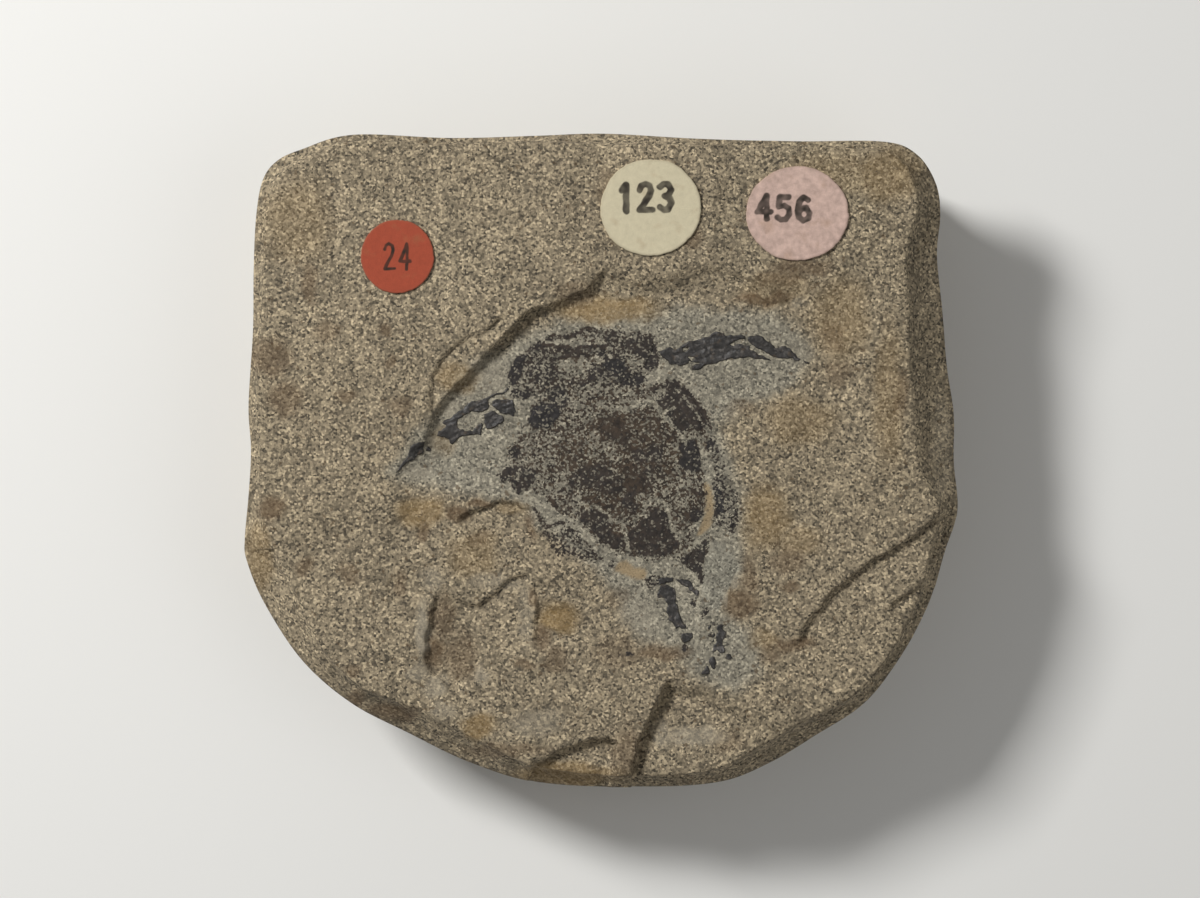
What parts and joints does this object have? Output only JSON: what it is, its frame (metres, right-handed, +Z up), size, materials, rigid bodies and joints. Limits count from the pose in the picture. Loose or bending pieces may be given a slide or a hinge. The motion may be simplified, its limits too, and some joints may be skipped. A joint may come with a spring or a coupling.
{
  "type": "fossil pterichthyodes fish",
  "caption": "Small armoured fish, seen from above, preserved as dark bone crusts on a split, broken-edged slab of fine sandstone with round paper labels, flat underneath.",
  "frame": {"origin": "middle of the slab's box, on the flat underside that it lies on", "axes": "+X to the right and +Y to the straight upper edge of the slab as it is read, +Z up out of the fossil side"},
  "size_m": [0.09, 0.0824, 0.022],
  "materials": {
    "sandstone": "split fine sandstone, grainy and matt",
    "armour": "thin crushed bone plates, mottled brown-black, dull",
    "bone": "blue-black fossil bone, slightly glossy",
    "orange_paper": "matt orange-red paper",
    "cream_paper": "matt aged cream paper",
    "pink_paper": "matt mottled pink paper"
  },
  "bodies": {
    "root": {"slab": "sandstone", "head_shield": "armour", "trunk_armour": "armour", "left_flank_plate": "armour", "right_flank_plate": "armour", "right_arm": "bone", "left_arm": "bone", "left_arm_tip": "bone", "tail_strip": "bone", "tail_branch": "bone", "tail_cluster": "bone", "tail_scale_1": "bone", "tail_scale_2": "bone", "tail_scale_3": "bone", "tail_scale_4": "bone", "label_orange": "orange_paper", "label_cream": "cream_paper", "label_pink": "pink_paper"}
  },
  "joints": []
}
